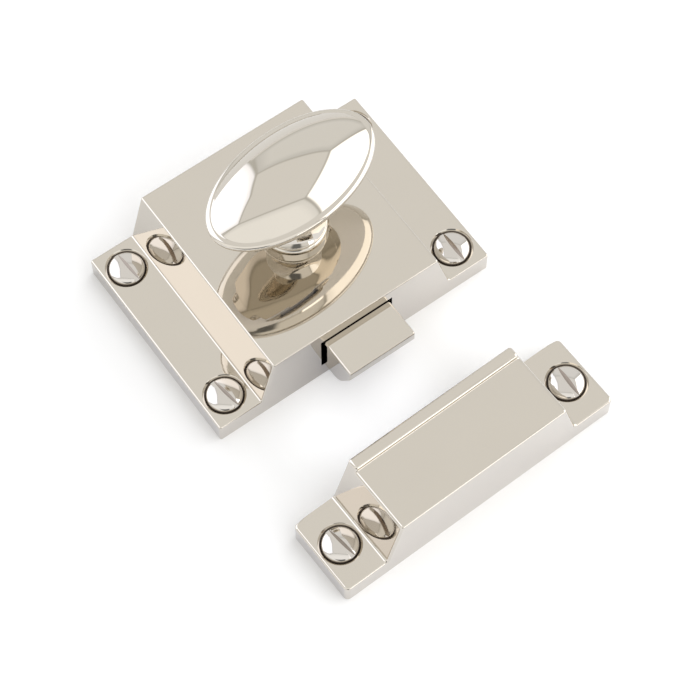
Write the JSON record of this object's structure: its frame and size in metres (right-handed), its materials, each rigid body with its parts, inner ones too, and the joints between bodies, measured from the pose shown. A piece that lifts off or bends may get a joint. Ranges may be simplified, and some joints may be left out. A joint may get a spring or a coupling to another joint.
{
  "type": "cupboard catch latch",
  "caption": "Surface mounted cupboard latch with an oval turn knob, a sprung bevelled bolt and a matching box keep, in polished nickel.",
  "frame": {"origin": "middle of the latch's back face, which lies on the door", "axes": "+X along the latch's plate, -Y the way the bolt comes out towards the keep, +Z away from the door, the way the knob's axis stands"},
  "size_m": [0.0554, 0.0733, 0.0468],
  "materials": {
    "nickel_casting": "polished nickel plate on cast brass",
    "nickel_bush": "polished nickel plate on turned brass",
    "nickel_knob": "polished nickel plate on cast brass",
    "nickel_bolt": "polished nickel plate on cast brass",
    "nickel_screws": "polished nickel plate on brass",
    "brass_cam": "plain cast brass",
    "brass_plate": "rolled brass sheet",
    "brass_screws": "plain brass",
    "steel_small": "bright turned steel",
    "spring_steel": "drawn spring wire"
  },
  "bodies": {
    "case": {"latch_case": "nickel_casting", "spindle_bush": "nickel_bush", "thrust_washer": "steel_small", "back_plate": "brass_plate", "back_plate_screws": "brass_screws", "latch_screws": "nickel_screws", "keep": "nickel_casting", "keep_screws": "nickel_screws", "bolt_spring": "spring_steel"},
    "knob": {"knob": "nickel_knob", "cam": "brass_cam", "cam_washer": "steel_small", "cam_screw": "steel_small"},
    "bolt": {"bolt": "nickel_bolt"}
  },
  "joints": [
    {"name": "knob_turn", "type": "hinge", "parent": "case", "child": "knob", "pos_m": [0.0009, 0, 0.0142], "axis": [0, 0, 1], "range_deg": [0, 60], "stiffness_Nm_per_rad": 0.0164, "springref_deg": -39.99},
    {"name": "bolt_slide", "type": "slide", "parent": "case", "child": "bolt", "axis": [0, 1, 0], "range_m": [0, 0.00601], "deforming": ["bolt_spring"]}
  ],
  "couplings": [
    {"joint": "bolt_slide", "follows": "knob_turn", "m_per_rad": 0.0057296}
  ]
}
